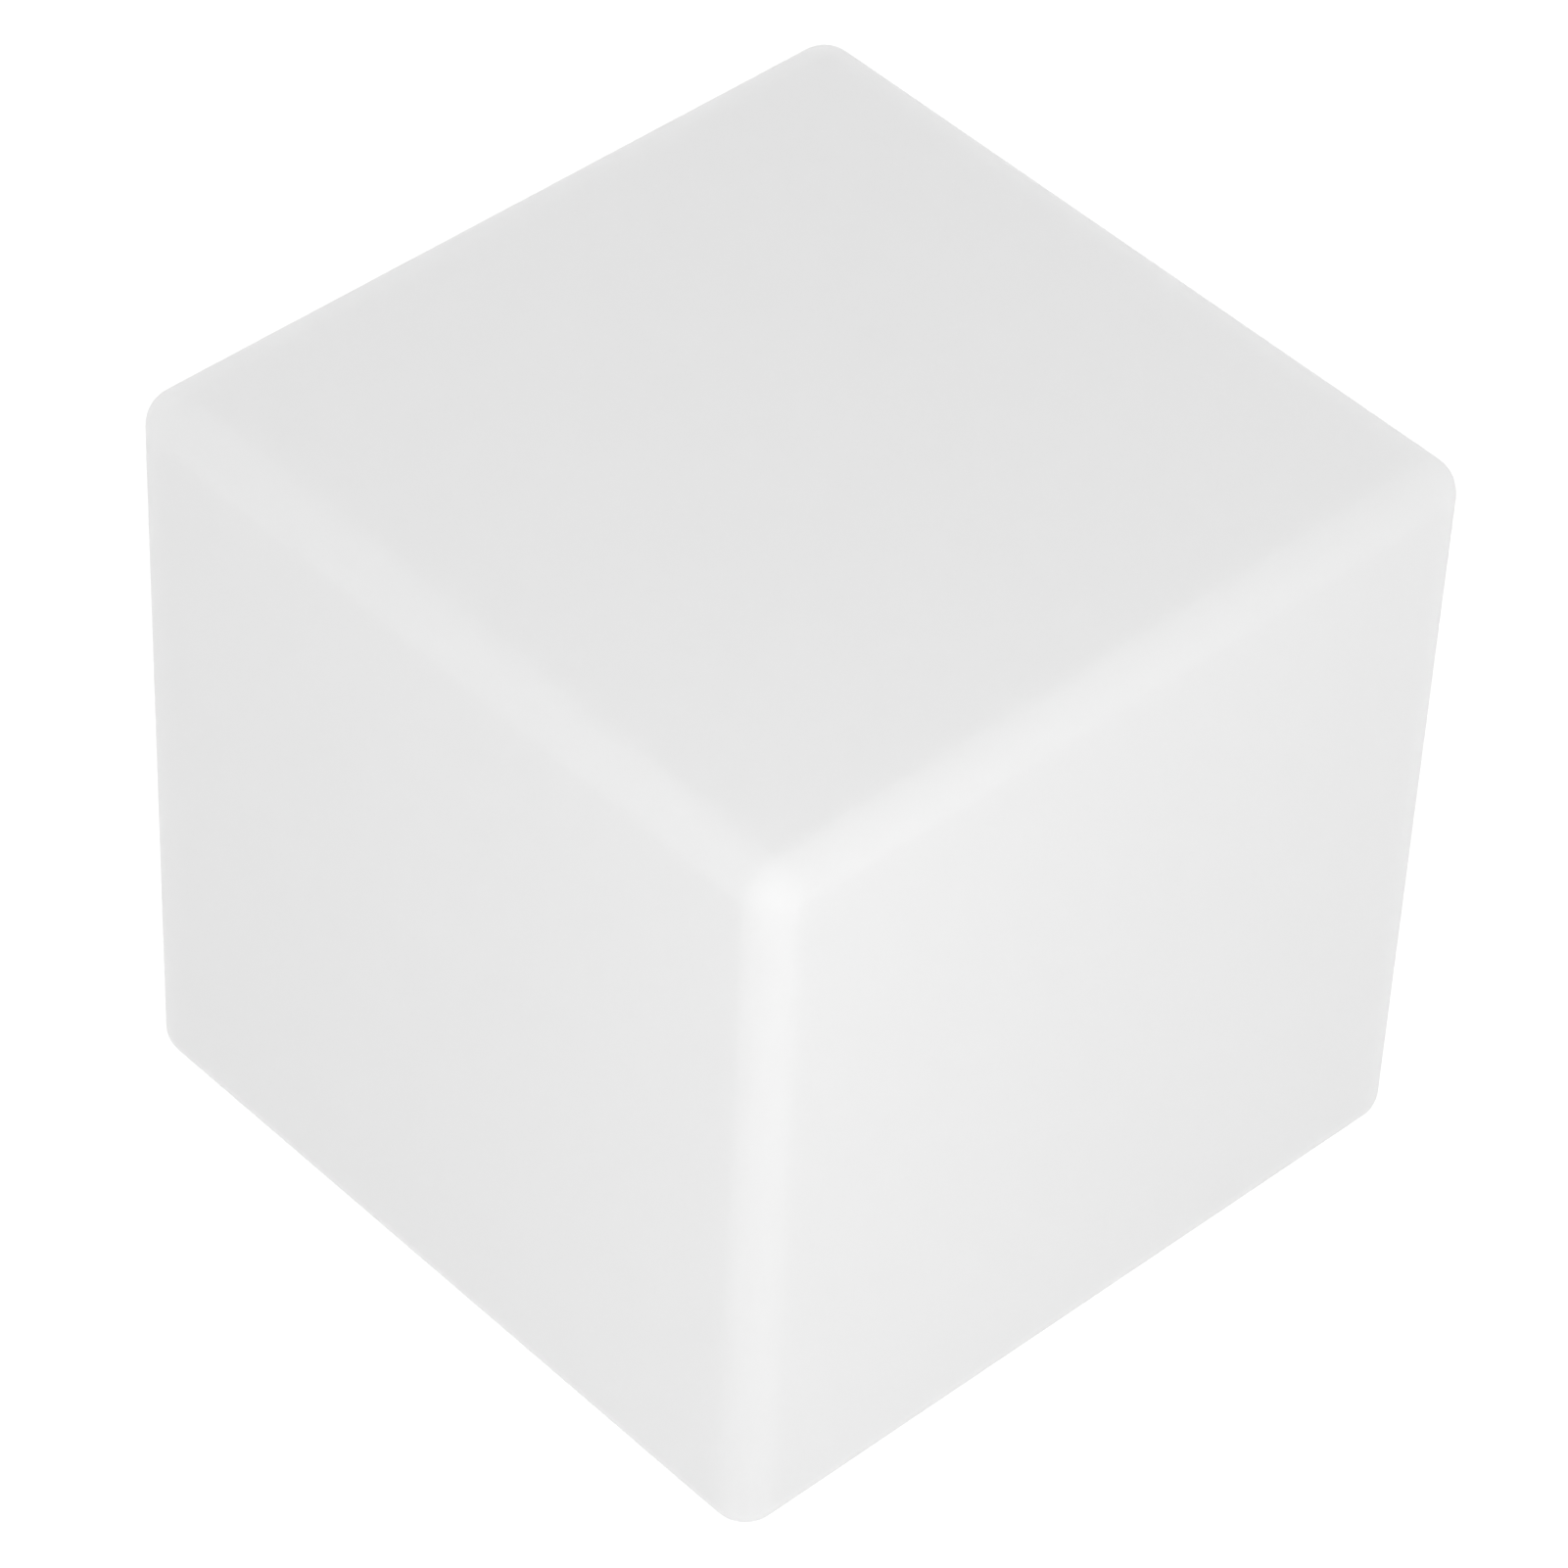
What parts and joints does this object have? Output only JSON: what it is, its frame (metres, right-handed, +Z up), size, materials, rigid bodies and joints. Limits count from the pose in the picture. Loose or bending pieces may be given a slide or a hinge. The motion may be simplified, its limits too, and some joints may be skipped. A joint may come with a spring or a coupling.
{
  "type": "light-up garden cube",
  "caption": "White rounded plastic cube that glows from inside, with a rechargeable light unit screwed up into a round well in its underside.",
  "frame": {"origin": "on the floor, under the middle of the cube, at the level of the foot pads' lower faces", "axes": "+Z up through the top face; +X towards the side of the charging socket; -X towards the side of the push button"},
  "size_m": [0.3, 0.3, 0.292],
  "materials": {
    "shell": "satin, translucent white",
    "pad": "matt, light grey",
    "insert": "turned",
    "housing": "fine satin",
    "seal": "matt",
    "screw": "stainless, satin",
    "button": "satin",
    "ring": "matt",
    "black_plastic": "satin",
    "spring": "drawn wire",
    "contact": "nickel plated",
    "silicone": "matt, grey",
    "clear_plastic": "clear",
    "led_lens": "diffused",
    "green_board": "solder mask",
    "chip": "moulded epoxy",
    "inductor": "ferrite",
    "capacitor": "can",
    "nylon": "natural nylon",
    "cradle": "moulded",
    "cell": "shrink sleeve",
    "clamp": "moulded",
    "white_board": "white solder mask",
    "led_package": "phosphor in a white package",
    "receiver": "infra-red window",
    "dome": "clear, faintly frosted",
    "lead_red": "silicone sleeve",
    "lead_black": "silicone sleeve",
    "ribbon": "flat ribbon"
  },
  "bodies": {
    "cube": {"cube_shell": "shell", "thread_inserts": "insert", "foot_pads": "pad", "unit_housing": "housing", "flange_seal": "seal", "flange_screws": "screw", "switch_body": "black_plastic", "button_spring": "spring", "charge_socket": "black_plastic", "socket_pin": "contact", "socket_seal": "seal", "cap_anchor": "silicone", "light_pipe": "clear_plastic", "indicator_led": "led_lens", "control_board": "green_board", "board_screws": "screw", "control_chips": "chip", "power_inductor": "inductor", "board_capacitors": "capacitor", "battery_header": "nylon", "battery_plug": "nylon", "ribbon_header": "nylon", "ribbon_plug": "nylon", "led_header": "nylon", "led_plug": "nylon", "battery_cradle": "cradle", "cradle_screws": "screw", "battery_cell_1": "cell", "battery_cell_2": "cell", "contact_minus": "contact", "contact_plus": "contact", "contact_link": "contact", "battery_clamp": "clamp", "clamp_screws": "screw", "led_board": "white_board", "led_board_screws": "screw", "led_chips": "led_package", "remote_receiver": "receiver", "light_dome": "dome", "dome_seal": "seal", "lead_plus": "lead_red", "lead_minus": "lead_black", "led_ribbon": "ribbon"},
    "button": {"power_button": "button", "button_ring": "ring", "switch_plunger": "black_plastic"},
    "socket_cap": {"port_cap": "silicone"}
  },
  "joints": [
    {"name": "button_press", "type": "slide", "parent": "cube", "child": "button", "axis": [0, 0, 1], "range_m": [0, 0.0012], "stiffness_N_per_m": 400, "deforming": ["button_spring"]},
    {"name": "port_cap_hinge", "type": "hinge", "parent": "cube", "child": "socket_cap", "pos_m": [0.034, 0, 0.0099], "axis": [0, -1, 0], "range_deg": [0, 120]}
  ]
}
